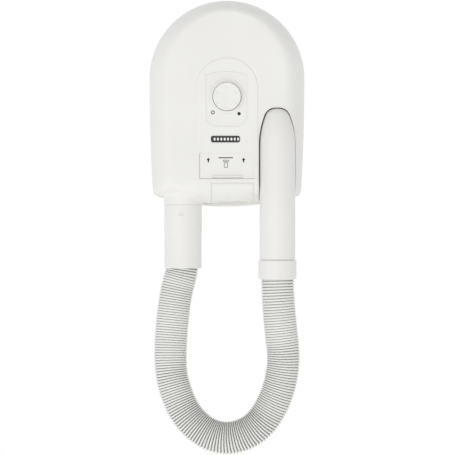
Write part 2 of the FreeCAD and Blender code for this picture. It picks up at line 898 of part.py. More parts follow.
door_marks = body("door_marks_body")
drawn = sketch(door_marks, "door_marks_outline", "XZ", out="door_front")
for corners in (
    arrow("-24.4"),
    arrow("21.8"),
    rounded_rectangle("-11", "8", "-76.6", "-75.4", "0.5"),
    *ring("-3.8", "1.2", "-89.0", "-82.2", "1.4"),
    *ring("-5.2", "2.6", "-81.4", "-78.9", "0.9"),
):
    outline(drawn, corners)
pad(door_marks, drawn, "0.15")
node("door_marks", door_marks)

socket_back = "socket_face - socket_block"
insert_tray = box(
    "insert_tray", ("-39.4", "38.8"), ("socket_face - 3", "cover_depth - wall"), ("-106.4", "-67.4")
)
insert_block = box("insert_block", ("-30.5", "30.5"), (socket_back, "socket_face - 2"), ("-104", "-74"))
insert_rails = [
    box("door_rail_left", ("-39.4", "-37"), ("80", "cover_depth - wall"), ("-68", "-40")),
    box("door_rail_right", ("36.4", "38.8"), ("80", "cover_depth - wall"), ("-68", "-40")),
]
insert_room = box(
    "insert_room",
    ("window_left", "window_right"),
    ("socket_face", "cover_depth"),
    ("window_foot", "window_top"),
)
pin_ways, contact_ways, contacts = [], [], []
pins = [f"{side} * outlet_offset + {pin} * pin_pitch / 2" for side in (-1, 1) for pin in (-1, 1)]
for i, x in enumerate(pins, 1):
    at = (x, "socket_z")
    contact = (f"{socket_back} + 1", "socket_face - 3")
    pin_ways.append(rod(f"pin_way_{i}", "pin_radius", "y", at, (socket_back, "socket_face + 1")))
    contact_ways.append(rod(f"contact_way_{i}", "3.5", "y", at, contact))
    contacts.append(pipe(f"contact_{i}", "3.5", "pin_radius", "y", at, contact))
insert_solid = fuse("insert_solid", insert_tray, insert_block, *insert_rails)
node("socket_insert", cut("insert", insert_solid, insert_room, *pin_ways, *contact_ways))
node("socket_contacts", group("contact_set", *contacts))

# ---------------------------------------------------------------------------------- electrical fittings

core = cut(
    "core",
    box("core_block", ("12", "56"), (transformer_back, "38"), ("42", "82")),
    box("core_window_left", ("18", "28"), ("10", "45"), ("48", "76")),
    box("core_window_right", ("40", "50"), ("10", "45"), ("48", "76")),
)
node("transformer_core", core)
winding_block = box("winding_block", ("18.2", "49.8"), ("11", "43"), ("48.4", "75.6"))
node("transformer_winding", cut("winding", winding_block, core))
node("control_board", box("board", ("-30", "32"), ("62", "63.6"), ("-30", "35")))
dial_switch_solid = fuse(
    "dial_switch_raised",
    box("switch_can", ("-12", "12"), ("63.6", "76"), ("knob_z - 12", "knob_z + 12")),
    rod("switch_bush", "4.4", "y", ("0", "knob_z"), ("75", "86.4")),
)
spindle_bore = rod("spindle_bore", "spindle_radius + running_fit", "y", ("0", "knob_z"), ("69.6", "90"))
node("dial_switch", cut("dial_switch_bored", dial_switch_solid, spindle_bore))
node(
    "board_components",
    group(
        "board_component_set",
        box("heat_sink", ("14", "28"), ("50", "62"), ("-22", "-8")),
        rod("capacitor", "5.5", "y", ("-18", "-18"), ("46", "62")),
        box("plug_strip", ("-24", "-2"), ("54", "62"), ("22", "30")),
        box("relay", ("6", "24"), ("46", "62"), ("8", "24")),
    ),
)
terminal_strip = box("terminal_strip", ("0", "28"), (tray_floor, "20"), ("-30", "-14"))
terminal_ways = [
    rod(f"terminal_way_{i}", "2.2", "y", (f"5 + {i} * 9", "-22"), ("12", "24")) for i in range(3)
]
node("terminal_block", cut("terminals", terminal_strip, *terminal_ways))

# ------------------------------------------------------------------------------- motor, fan and heater

AXIS = ("outlet_x", "outlet_depth")
duct_bore = "duct_radius - duct_wall"
blower_tube = pipe("blower_pipe", "duct_radius", duct_bore, "z", AXIS, ("heater_top_z", "blower_top_z"))
struts = cross("motor_struts", "26", "2", ("53", "58"))
sleeve_radius = "motor_radius + 1.2"
motor_ring = rod("motor_ring", f"{sleeve_radius} + 1.8", "z", AXIS, ("53", "62"))
motor_room = rod("motor_room", sleeve_radius, "z", AXIS, ("50", "70"))
node("blower_tube", cut("blower", fuse("blower_raised", blower_tube, *struts, motor_ring), motor_room))
node("motor_sleeve", pipe("sleeve", sleeve_radius, "motor_radius", "z", AXIS, ("53", "62")))
motor = turned(
    "motor_can",
    "z",
    AXIS,
    [
        ("shaft_radius + running_fit", "motor_foot_z"),
        ("motor_radius - 1", "motor_foot_z"),
        ("motor_radius", "motor_foot_z + 1"),
        ("motor_radius", "motor_top_z - 1"),
        ("motor_radius - 1", "motor_top_z"),
        ("5", "motor_top_z"),
        ("5", "motor_top_z + 2"),
        ("shaft_radius + running_fit", "motor_top_z + 2"),
    ],
)
node("motor", motor)
node("motor_shaft", rod("shaft", "shaft_radius", "z", AXIS, ("fan_foot_z - 2", "motor_top_z + 3")))


def fan_blades():
    """Nine flat pitched blades, trimmed to the hub, the tip circle and the fan's height."""
    x, depth, foot, top = (mm(v) for v in ("outlet_x", "outlet_depth", "fan_foot_z", "fan_top_z"))
    centre = Vector(x, -depth, foot)
    ring = Part.makeCylinder(mm("fan_radius"), top - foot, centre)
    ring = ring.cut(Part.makeCylinder(11.5, top - foot, centre))
    blades = []
    for i in range(9):
        blade = Part.makeBox(30, 1.4, 30, Vector(0, -0.7, -15))
        blade.rotate(Vector(), Vector(1, 0, 0), 48)
        blade.rotate(Vector(), Vector(0, 0, 1), 40 * i)
        blade.translate(centre + Vector(0, 0, (top - foot) / 2))
        blades.append(blade.common(ring))
    return blades[0].multiFuse(blades[1:])


fan_hub = turned(
    "fan_hub",
    "z",
    AXIS,
    [
        ("shaft_radius", "fan_foot_z"),
        ("8", "fan_foot_z"),
        ("12", "fan_foot_z + 4"),
        ("12", "fan_top_z"),
        ("shaft_radius", "fan_top_z"),
    ],
)
node("fan_impeller", fuse("fan", fan_hub, solid("fan_blades", fan_blades())))
heater_tube = pipe("heater_pipe", "duct_radius", duct_bore, "z", AXIS, ("heater_foot_z", "heater_top_z"))
node("heater_tube", heater_tube)

boards = [
    *cross("heater_boards", "17.1", "0.4", ("heater_foot_z + 4", "heater_top_z - 4")),
    *cross("heater_feet", "24.9", "0.4", ("heater_foot_z + 1", "heater_foot_z + 5")),
    *cross("heater_heads", "24.9", "0.4", ("heater_top_z - 5", "heater_top_z - 1")),
]
node("heater_frame", fuse("heater_cross", *boards))


def coil(radius, wire, pitch, height):
    """A coil spring or heating coil standing on the origin along Z."""
    helix = Part.makeHelix(pitch, height, radius)
    section = Part.Wire(Part.makeCircle(wire, Vector(radius, 0, 0), Vector(0, 1, 0)))
    return Part.Wire(helix).makePipeShell([section], True, True)


heating = solid("heating_coil", coil(18.05, 0.9, 11.5, 69))
heating.Placement = Placement(Vector(mm("outlet_x"), -mm("outlet_depth"), -51), Rotation())
node("heater_coil", heating)
beside_board = ("outlet_depth + 0.4", "outlet_depth + 5")
node("thermostat", box("thermostat_can", ("outlet_x + 3", "outlet_x + 11"), beside_board, ("6", "16")))
node("thermal_fuse", rod("fuse_link", "2", "z", ("outlet_x - 3", "outlet_depth + 2.4"), ("8", "20")))

spigot_bore = "spigot_radius - spigot_wall"
funnel = turned(
    "funnel",
    "z",
    AXIS,
    [
        ("duct_radius - duct_wall", "heater_foot_z"),
        ("duct_radius", "heater_foot_z"),
        ("duct_radius", "heater_foot_z - 4"),
        ("spigot_radius + 2", "-97"),
        ("spigot_radius + 2", "-106"),
        ("spigot_radius", "-106"),
        ("spigot_radius", "-100"),
        (spigot_bore, "-100"),
        (spigot_bore, "-97"),
        ("duct_radius - duct_wall", "heater_foot_z - 4"),
    ],
)
node("duct_funnel", funnel)
spigot = pipe("spigot", "spigot_radius", spigot_bore, "z", AXIS, ("spigot_foot_z", "-100"))
node("outlet_spigot", spigot)

# ------------------------------------------------------------------------------------- cuffs and handle

hose_room = "hose_radius + clearance"
outlet_cuff = turned(
    "outlet_cuff_body",
    "z",
    AXIS,
    [
        ("neck_radius", "neck_foot_z - outlet_seam"),
        ("neck_radius", "-172"),
        ("neck_radius - 0.3", "-172.6"),
        ("neck_radius - 0.3", "cuff_foot_z + 1"),
        ("neck_radius - 0.9", "cuff_foot_z"),
        ("neck_radius - 1.4", "cuff_foot_z"),
        ("neck_radius - 1.6", "cuff_foot_z + 1"),
        (hose_room, "-204"),
        (hose_room, "spigot_foot_z - 0.4"),
        ("spigot_radius + running_fit", "spigot_foot_z - 0.4"),
        ("spigot_radius + running_fit", "neck_foot_z - outlet_seam"),
    ],
)
snap_width = ("-62.6", "-57.6")
snap_slot = box("snap_slot", snap_width, ("73.6", "76"), ("-151", "-150"))
snap_pip = box("snap_pip", snap_width, ("73.6", "75.1"), ("-150", "-146"))
outlet_cuff_slotted = cut("outlet_cuff_slotted", outlet_cuff, snap_slot)
node("outlet_cuff", fuse("outlet_cuff_with_pip", outlet_cuff_slotted, snap_pip))

HAND = ("handle_x", "handle_depth")
nozzle_z = f"({corner_z} + sqrt(handle_corner_radius ^ 2 - (nozzle_radius - {corner_x}) ^ 2))"
handle_top = f"({corner_z} + handle_corner_radius)"
lean_x = "(handle_half_width - handle_side_radius + handle_side_radius * cos(handle_lean))"
lean_z = "(handle_shoulder_z + handle_side_radius * sin(handle_lean))"
handle_skin = [
    ("handle_half_width", "handle_foot_z"),
    ("handle_half_width", "handle_shoulder_z", "handle_side_radius"),
    (lean_x, lean_z, "handle_corner_radius"),
    ("nozzle_radius", nozzle_z),
]
handle_solid = turned("handle_solid", "z", HAND, [("0", "handle_foot_z"), *handle_skin, ("0", nozzle_z)])
handle_shell = turned(
    "handle_shell",
    "z",
    HAND,
    [
        *handle_skin,
        ("nozzle_radius", f"{nozzle_z} - 2.4"),
        (f"{lean_x} - handle_wall", f"{lean_z} - 1"),
        ("handle_half_width - handle_wall", "handle_shoulder_z"),
        ("handle_half_width - handle_wall", "handle_foot_z"),
    ],
)

handle_posts, handle_ways, handle_screws = [], [], []
for i, z in enumerate(("-96", "-186"), 1):
    at = ("handle_x", z)
    handle_posts.append(rod(f"handle_post_{i}", "3.8", "y", at, around("handle_depth", "27")))
    handle_ways.append(rod(f"handle_screw_way_{i}", "1.5", "y", at, behind("22", "-10")))
    handle_ways.append(rod(f"handle_head_way_{i}", "2.9", "y", at, behind("32", "19")))
    shank = rod(f"handle_screw_shank_{i}", "1.5", "y", at, behind("19", "-8"))
    head = rod(f"handle_screw_head_{i}", "2.7", "y", at, behind("21.4", "19"))
    handle_screws.append(fuse(f"handle_screw_{i}", shank, head))
MAGNET = ("handle_x", "handle_magnet_z")
magnet_boss = rod("magnet_boss", "magnet_radius + 1.4", "y", MAGNET, behind("22.6", "16.4"))
magnet_room = rod("magnet_room", "magnet_radius", "y", MAGNET, behind("20.4", "12"))
posts_in_handle = common("posts_in_handle", handle_solid, fuse("handle_post_pair", *handle_posts))
handle_raised = fuse("handle_raised", handle_shell, posts_in_handle, magnet_boss)
handle_whole = cut("handle_whole", handle_raised, magnet_room, *handle_ways)
half = around("handle_x", "40")
rear_half = box("rear_half", half, ("30", "handle_depth"), ("-260", "20"))
front_half = box("front_half", half, ("handle_depth", "handle_depth + 40"), ("-260", "20"))
node("handle_front_shell", common("handle_front", handle_whole, front_half))
node("handle_rear_shell", common("handle_rear", handle_whole, rear_half))
node("handle_screws", group("handle_screw_set", *handle_screws))
node("catch_magnet", rod("magnet", "magnet_radius", "y", MAGNET, behind("20.4", "16.6")))
handle_bore = "handle_half_width - handle_wall"
neck_span = ("handle_neck_foot_z", "handle_foot_z + 12")
node("handle_neck", pipe("neck_tube", handle_bore, "19.2", "z", HAND, neck_span))

# The grille's ribs and its closed front half are cut to the round of the handle's tip.
grille_foot = f"({nozzle_z} - grille_rib)"
grille_span = (grille_foot, handle_top)
tip = turned(
    "handle_tip",
    "z",
    HAND,
    [
        ("0", grille_foot),
        ("nozzle_radius", grille_foot),
        ("nozzle_radius", nozzle_z, "handle_corner_radius"),
        (corner_x, handle_top),
        ("0", handle_top),
    ],
)
ribs = fuse(
    "grille_ribs",
    pipe("grille_rim", "nozzle_radius", "9.6", "z", HAND, grille_span),
    pipe("grille_ring", "6.4", "5.2", "z", HAND, grille_span),
    rod("grille_hub", "1.8", "z", HAND, grille_span),
    box("grille_bar_x", around("handle_x", "10"), around("handle_depth", "0.6"), grille_span),
    common(
        "grille_shield",
        rod("grille_disc", "10", "z", HAND, grille_span),
        box("grille_front", around("handle_x", "12"), ("handle_depth", "handle_depth + 12"), grille_span),
    ),
    box("grille_bar_y", around("handle_x", "0.6"), around("handle_depth", "10"), grille_span),
)
node("nozzle_grille", common("grille", ribs, tip))
cuff_top = "handle_foot_z - cuff_gap"
cuff_step = "handle_neck_foot_z - 0.4"
cuff_bearing = f"{handle_bore} + running_fit"
handle_cuff = turned(
    "handle_cuff_body",
    "z",
    HAND,
    [
        (cuff_bearing, cuff_top),
        ("handle_cuff_radius - 1.2", cuff_top),
        ("handle_cuff_radius", f"{cuff_top} - 1.2"),
        ("handle_cuff_radius", "handle_cuff_foot_z + 1"),
        ("handle_cuff_radius - 0.6", "handle_cuff_foot_z"),
        (f"{hose_room} + 0.9", "handle_cuff_foot_z"),
        (hose_room, "handle_cuff_foot_z + 4"),
        (hose_room, cuff_step),
        (cuff_bearing, cuff_step),
    ],
)
node("handle_cuff", handle_cuff)

# ------------------------------------------------------------------------------- cradle catch and switch

catch_z = ("handle_magnet_z - 8", "handle_magnet_z + 10")
catch_plate = box("catch_steel", around("handle_x", "9"), (f"{cradle_back} - 1.5", cradle_back), catch_z)
node("catch_plate", catch_plate)
SWITCH = ("handle_x", "plunger_z")
plunger_tip = "handle_depth - handle_half_width - 0.4"
plunger = fuse(
    "plunger",
    rod("plunger_stem", "plunger_radius", "y", SWITCH, ("36", plunger_tip)),
    rod("plunger_collar", "5", "y", SWITCH, ("39", "40.5")),
)
node("cradle_plunger", plunger)
switch_body = fuse(
    "switch_body",
    box("switch_case", around("handle_x", "10"), (switch_back, "33"), around("plunger_z", "10")),
    rod("switch_button", "1.6", "y", SWITCH, ("32", "35.7")),
)
node("microswitch", switch_body)
spring = solid("plunger_coil", coil(4.0, 0.55, 2.1, 4.2))
spring.Placement = Placement(Vector(mm("handle_x"), -34, mm("plunger_z")), Rotation(Vector(1, 0, 0), 90))
node("plunger_spring", spring)

# ------------------------------------------------------------------------------------------------- hose

HOSE_ROUTE = (
    (-58.0, 50.0, -200.0),
    (-58.2, 50.0, -221.0),
    (-66.3, 50.4, -248.0),
    (-71.8, 51.6, -285.0),
    (-75.2, 53.2, -331.0),
    (-72.9, 55.6, -371.4),
    (-52.1, 59.4, -420.8),
    (-10.1, 64.2, -448.7),
    (37.9, 69.0, -435.7),
    (65.3, 72.8, -392.1),
    (75.7, 75.4, -344.0),
    (70.1, 77.2, -298.2),
    (66.3, 78.0, -252.0),
    (66.2, 78.0, -225.0),
)


def hose_path(route):
    """Straight runs joined by tangent arcs, and the arcs' radii."""
    points = [Vector(x, -depth, z) for x, depth, z in route]
    edges, radii = [], []
    start = points[0]
    for before, corner, after in zip(points, points[1:], points[2:]):
        into, out = (corner - before).normalize(), (after - corner).normalize()
        reach = 0.45 * min((corner - before).Length, (after - corner).Length)
        half_turn = into.getAngle(out) / 2
        radius = reach / math.tan(half_turn)
        first, last = corner - into * reach, corner + out * reach
        middle = corner + (out - into).normalize() * (radius / math.cos(half_turn) - radius)
        edges += [Part.LineSegment(start, first).toShape(), Part.Arc(first, middle, last).toShape()]
        radii.append(radius)
        start = last
    edges.append(Part.LineSegment(start, points[-1]).toShape())
    return Part.Wire(edges), radii


def hose_solid(path, radius):
    start = path.Edges[0].Vertexes[0].Point
    along = (path.Edges[0].Vertexes[-1].Point - start).normalize()
    ring = Part.Wire(Part.makeCircle(radius, start, along))
    return path.makePipeShell([ring], True, False)


path, bend_radii = hose_path(HOSE_ROUTE)
hose = hose_solid(path, mm("hose_radius")).cut(hose_solid(path, mm("hose_radius - hose_wall")))
node("hose", solid("hose_tube", hose))
ring_area = math.pi * (mm("hose_radius") ** 2 - mm("hose_radius - hose_wall") ** 2)
print("hose bend radii", [round(r) for r in bend_radii], "mm, length", round(path.Length), "mm")
print("hose volume over section x length:", round(hose.Volume / (ring_area * path.Length), 4))

# ------------------------------------------------------------------------------------- checks and export

doc.recompute()
for thing in doc.Objects:
    if "Invalid" in thing.State or "Error" in thing.State:
        raise RuntimeError(f"{thing.Name} did not recompute: {thing.State}")
os.makedirs("parts", exist_ok=True)
for thing in NODES:
    shape = thing.Shape
    if shape.isNull() or not shape.isValid() or not shape.Solids:
        raise RuntimeError(f"{thing.Label} has no valid solid")
    shape.exportStep(f"parts/{thing.Label}.step")
print(len(NODES), "nodes written")
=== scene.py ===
"""Looks for a wall-mounted hose hair dryer: materials, ribbed hose, light and camera.

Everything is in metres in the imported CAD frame: +Z up, the wall at Y = 0, the front facing -Y.
"""

import bisect
import json
import math

import bmesh
import bpy
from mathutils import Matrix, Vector


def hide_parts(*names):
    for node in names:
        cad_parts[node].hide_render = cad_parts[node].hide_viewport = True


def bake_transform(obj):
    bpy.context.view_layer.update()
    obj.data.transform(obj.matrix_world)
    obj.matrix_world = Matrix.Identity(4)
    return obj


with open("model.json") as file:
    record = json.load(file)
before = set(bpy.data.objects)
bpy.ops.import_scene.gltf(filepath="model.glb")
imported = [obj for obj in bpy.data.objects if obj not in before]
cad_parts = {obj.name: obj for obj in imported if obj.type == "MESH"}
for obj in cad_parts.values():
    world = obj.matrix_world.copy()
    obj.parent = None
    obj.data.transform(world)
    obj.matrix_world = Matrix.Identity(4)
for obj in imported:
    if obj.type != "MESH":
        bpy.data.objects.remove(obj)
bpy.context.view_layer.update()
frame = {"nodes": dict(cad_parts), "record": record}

# ---------------------------------------------------------------------------------------------- materials

PLASTIC_GRAIN_SIZE = 0.0007


class Nodes:
    """A material's node tree, with short calls for the nodes that the materials here share."""

    def __init__(self, name):
        self.material = bpy.data.materials.new(name)
        self.material.use_nodes = True
        self.tree = self.material.node_tree
        self.shader = self.tree.nodes["Principled BSDF"]
        self.place = self.tree.nodes.new("ShaderNodeTexCoord").outputs["Object"]

    def add(self, kind, **inputs):
        """A new node with the inputs given by name, where an underscore stands for a space."""
        made = self.tree.nodes.new("ShaderNode" + kind)
        for name, value in inputs.items():
            self.put(made.inputs[name.replace("_", " ")], value)
        return made

    def put(self, socket, value):
        """Links a node's output to the socket, or sets the socket's own value."""
        if isinstance(value, bpy.types.NodeSocket):
            self.tree.links.new(value, socket)
        else:
            socket.default_value = value

    def noise(self, scale, detail=3.0, stretch=(1, 1, 1)):
        place = self.add("Mapping", Vector=self.place, Scale=stretch).outputs["Vector"]
        return self.add("TexNoise", Vector=place, Scale=scale, Detail=detail).outputs["Fac"]

    def ramp(self, factor, *stops):
        """Maps a factor to colours: each stop is (position, colour)."""
        made = self.add("ValToRGB", Fac=factor)
        elements = made.color_ramp.elements
        while len(elements) < len(stops):
            elements.new(0.5)
        for element, (position, colour) in zip(elements, stops):
            element.position = position
            element.color = (*colour, 1)
        return made.outputs["Color"]

    def between(self, factor, low, high, start=0.3, end=0.7):
        """Maps a factor from start..end to a number from low to high."""
        made = self.add("MapRange", Value=factor)
        for name, value in (("From Min", start), ("From Max", end), ("To Min", low), ("To Max", high)):
            made.inputs[name].default_value = value
        return made.outputs["Result"]

    def bump(self, height, strength, distance, under=None):
        """Surface relief from a height, laid over the normal of the relief under it."""
        made = self.add("Bump", Height=height, Strength=strength, Distance=distance)
        if under is not None:
            self.tree.links.new(under, made.inputs["Normal"])
        return made.outputs["Normal"]

    def finish(self, **inputs):
        """Gives the shader its inputs and returns the material."""
        for name, value in inputs.items():
            self.put(self.shader.inputs[name.replace("_", " ")], value)
        return self.material


def shade(colour, amount):
    return tuple(min(1.0, c * amount) for c in colour)


def plastic(name, colour, roughness, grain=0.04, coat=0.0, variation=0.015):
    """Moulded plastic: a fine spark-eroded grain over slow waves, and slight drifts of colour and gloss."""
    nodes = Nodes(name)
    drift = nodes.noise(scale=9.0, detail=2.0)
    pimples = nodes.noise(scale=1 / PLASTIC_GRAIN_SIZE, detail=2.0)
    waves = nodes.noise(scale=28.0, detail=1.0)
    scuffs = nodes.noise(scale=160.0, detail=4.0, stretch=(1, 1, 0.25))
    normal = nodes.bump(waves, strength=0.05, distance=0.002)
    normal = nodes.bump(pimples, strength=grain, distance=0.0002, under=normal)
    base = nodes.ramp(drift, (0.35, shade(colour, 1 - variation)), (0.65, shade(colour, 1 + variation)))
    gloss = nodes.between(scuffs, low=roughness - 0.03, high=roughness + 0.04)
    return nodes.finish(
        Base_Color=base,
        Roughness=gloss,
        Normal=normal,
        Coat_Weight=coat,
        Coat_Roughness=0.12,
        Specular_IOR_Level=0.35,
    )


def metal(name, colour, roughness, stretch=(1, 1, 12)):
    """Bare metal with fine brushed lines."""
    nodes = Nodes(name)
    lines = nodes.noise(scale=420.0, stretch=stretch)
    stains = nodes.noise(scale=60.0)
    base = nodes.ramp(stains, (0.35, shade(colour, 0.9)), (0.65, shade(colour, 1.06)))
    gloss = nodes.between(lines, low=roughness - 0.06, high=roughness + 0.1)
    normal = nodes.bump(lines, strength=0.08, distance=0.0001)
    return nodes.finish(Base_Color=base, Roughness=gloss, Normal=normal, Metallic=1.0)


def rubber(name, colour):
    """Matt rubber with fine pits and some dust."""
    nodes = Nodes(name)
    pits = nodes.noise(scale=900.0)
    dust = nodes.noise(scale=70.0, detail=4.0)
    base = nodes.ramp(dust, (0.4, colour), (0.75, shade(colour, 1.8)))
    gloss = nodes.between(dust, low=0.6, high=0.8)
    normal = nodes.bump(pits, strength=0.3, distance=0.0002)
    return nodes.finish(Base_Color=base, Roughness=gloss, Normal=normal)


def foam(name, colour):
    """Open-cell foam."""
    nodes = Nodes(name)
    cells = nodes.add("TexVoronoi", Vector=nodes.place, Scale=900.0).outputs["Distance"]
    base = nodes.ramp(cells, (0.1, shade(colour, 1.6)), (0.6, shade(colour, 0.4)))
    normal = nodes.bump(cells, strength=0.8, distance=0.0008)
    return nodes.finish(Base_Color=base, Roughness=0.95, Normal=normal)


def board(name, colour):
    """A circuit board: solder mask over woven glass."""
    nodes = Nodes(name)
    weave = nodes.add("TexWave", Vector=nodes.place, Scale=520.0).outputs["Fac"]
    traces = nodes.noise(scale=140.0, detail=0.0, stretch=(1, 1, 5))
    base = nodes.ramp(traces, (0.48, colour), (0.52, shade(colour, 1.5)))
    normal = nodes.bump(weave, strength=0.1, distance=0.0001)
    return nodes.finish(Base_Color=base, Roughness=0.35, Normal=normal)


def wound_wire(name, colour):
    """Fine lacquered wire laid side by side, darker between the turns as painted shade."""
    nodes = Nodes(name)
    turns = nodes.add("TexWave", Vector=nodes.place, Scale=420.0, Distortion=0.6)
    turns.bands_direction = "Z"
    field = turns.outputs["Fac"]
    # The troughs between the turns get half the colour: painted shade between the wires.
    base = nodes.ramp(field, (0.0, shade(colour, 0.5)), (0.6, colour))
    normal = nodes.bump(field, strength=0.6, distance=0.0004)
    return nodes.finish(Base_Color=base, Roughness=0.3, Metallic=0.9, Normal=normal)


def mica(name, colour):
    """Pressed flakes that differ a little in colour and gloss."""
    nodes = Nodes(name)
    flakes = nodes.add("TexVoronoi", Vector=nodes.place, Scale=180.0).outputs["Color"]
    grey = nodes.add("RGBToBW", Color=flakes).outputs["Val"]
    base = nodes.ramp(grey, (0.2, shade(colour, 0.85)), (0.8, shade(colour, 1.15)))
    gloss = nodes.between(grey, low=0.3, high=0.55, start=0, end=1)
    return nodes.finish(Base_Color=base, Roughness=gloss)


WARM_WHITE = (0.850, 0.844, 0.820)
HANDLE_WHITE = (0.846, 0.838, 0.808)
HOSE_GREY = (0.840, 0.846, 0.815)
# A darker grey for the strips at the middle of the hose's grooves: painted shade for the grooves.
HOSE_GROOVE_SHADE = (0.450, 0.454, 0.432)
GRAPHITE = (0.012, 0.012, 0.013)
DARK = (0.045, 0.045, 0.048)

LOOKS = {
    "housing_white": plastic("housing plastic", WARM_WHITE, roughness=0.42),
    "console_white": plastic("console plastic", shade(WARM_WHITE, 1.01), roughness=0.40),
    "dial_white": plastic("dial plastic", WARM_WHITE, roughness=0.42),
    "knob_white": plastic("knob plastic", WARM_WHITE, roughness=0.40),
    "handle_white": plastic("handle plastic", HANDLE_WHITE, roughness=0.44),
    "hose_grey": plastic("hose plastic", HOSE_GREY, roughness=0.55, grain=0.06, variation=0.02),
    "print_dark": plastic("dark print", GRAPHITE, roughness=0.55),
    "badge_graphite": plastic("graphite badge", GRAPHITE, roughness=0.28, coat=0.3),
    "inner_plastic": plastic("inner plastic", DARK, roughness=0.5, grain=0.15, variation=0.1),
    "zinc_steel": metal("zinc plated steel", (0.62, 0.64, 0.66), roughness=0.38),
    "fastener_steel": metal("steel", (0.56, 0.56, 0.55), roughness=0.3),
    "contact_brass": metal("brass", (0.78, 0.6, 0.28), roughness=0.28),
    "black_rubber": rubber("black rubber", (0.02, 0.02, 0.02)),
    "filter_foam": foam("filter foam", (0.05, 0.05, 0.05)),
    "board_green": board("circuit board", (0.01, 0.1, 0.04)),
    "copper_winding": wound_wire("copper winding", (0.6, 0.26, 0.1)),
    "core_steel": metal("core sheets", (0.3, 0.3, 0.32), roughness=0.45, stretch=(1, 24, 1)),
    "mica": mica("mica", (0.6, 0.52, 0.36)),
    "heater_wire": metal("heater wire", (0.42, 0.4, 0.37), roughness=0.4),
    "magnet_ferrite": metal("ferrite", (0.1, 0.1, 0.11), roughness=0.6),
}


def dress(thing, slot):
    """Makes one of the looks a thing's only material."""
    thing.data.materials.clear()
    thing.data.materials.append(LOOKS[slot])


def smooth(thing, degrees=30):
    """Smooth shading, with edges sharper than the angle kept crisp."""
    thing.data.shade_smooth()
    thing.data.set_sharp_from_angle(angle=math.radians(degrees))


for entry in frame["record"]["subparts"]:
    carried = frame["nodes"][entry["node"]]
    dress(carried, entry["material_slot"])
    smooth(carried)

# --------------------------------------------------------------------------------------------------- hose

# From inside the outlet's cuff, down, round the bottom bend and up into the handle's cuff.
HOSE_ROUTE = (
    (-0.0580, -0.0500, -0.2000),
    (-0.0582, -0.0500, -0.2210),
    (-0.0663, -0.0504, -0.2480),
    (-0.0718, -0.0516, -0.2850),
    (-0.0752, -0.0532, -0.3310),
    (-0.0729, -0.0556, -0.3714),
    (-0.0521, -0.0594, -0.4208),
    (-0.0101, -0.0642, -0.4487),
    (0.0379, -0.0690, -0.4357),
    (0.0653, -0.0728, -0.3921),
    (0.0757, -0.0754, -0.3440),
    (0.0701, -0.0772, -0.2982),
    (0.0663, -0.0780, -0.2520),
    (0.0662, -0.0780, -0.2250),
)
ROUTE_RESOLUTION = 64
HOSE_DIAMETER = 0.0438
HOSE_WALL = 0.0007
HOSE_SIDES = 48
RINGS_PER_RIB = 10

# Each measure of a rib is given for the straight, relaxed hose and for the hose fully bent or pulled.
# The groove shade share is the strip at each side of a groove's middle, as a share of the pitch; it gets a
# darker grey, painted shade for the groove, and the ridge's rings stand between these strips.
RIB_PITCH = 0.00335
RIB_PITCH_PULLED = 0.0041
RIB_DEPTH = 0.0014
RIB_DEPTH_BENT = 0.0032
RIDGE_SHARPNESS = 0.6
RIDGE_SHARPNESS_BENT = 1.1
GROOVE_SHADE_SHARE = 0.1
GROOVE_SHADE_SHARE_BENT = 0.19

# The handle's weight pulls on a length of hose under its cuff, and opens the ribs there by a share of
# what a full bend does. The bend is one over the radius.
FULL_BEND = 13.0
PULLED_LENGTH = 0.075
PULLED_OPENING = 0.6


def smooth_route(points):
    """Points read closely along one NURBS spline that has the route's points as its control points."""
    name = "hose_route"
    curve = bpy.data.curves.new(name, "CURVE")
    curve.dimensions = "3D"
    curve.resolution_u = ROUTE_RESOLUTION
    spline = curve.splines.new("NURBS")
    spline.points.add(len(points) - 1)
    for point, place in zip(spline.points, points):
        point.co = (*place, 1)
    spline.order_u = 3
    spline.use_endpoint_u = True
    holder = bpy.data.objects.new(name, curve)
    bpy.context.scene.collection.objects.link(holder)
    bpy.context.view_layer.update()
    mesh = bpy.data.meshes.new_from_object(holder)
    read = [v.co.copy() for v in mesh.vertices]
    bpy.data.objects.remove(holder)
    bpy.data.meshes.remove(mesh)
    return read


class Route:
    """A path by distance along it, with its direction and how hard it bends."""

    def __init__(self, points):
        self.points = points
        self.marks = [0.0]
        for a, b in zip(points, points[1:]):
            self.marks.append(self.marks[-1] + (b - a).length)
        self.length = self.marks[-1]

    def at(self, distance):
        """The point at a distance from the path's start, held to its two ends."""
        distance = min(max(distance, 0.0), self.length)
        i = min(bisect.bisect_right(self.marks, distance), len(self.marks) - 1) - 1
        share = (distance - self.marks[i]) / (self.marks[i + 1] - self.marks[i])
        return self.points[i].lerp(self.points[i + 1], share)

    def direction(self, distance, reach=0.004):
        return (self.at(distance + reach) - self.at(distance - reach)).normalized()

    def bend(self, distance, reach=0.012):
        """One over the bend's radius."""
        return self.direction(distance - reach).angle(self.direction(distance + reach), 0.0) / (2 * reach)


def mix(low, high, share):
    return low + (high - low) * share


def ring_phases(groove_shade):
    """Where a rib's rings stand, from 0 to 1 across it: one in mid groove, the others over the ridge."""
    ridge_steps = RINGS_PER_RIB - 2
    return [0.0] + [mix(groove_shade, 1 - groove_shade, i / ridge_steps) for i in range(ridge_steps + 1)]


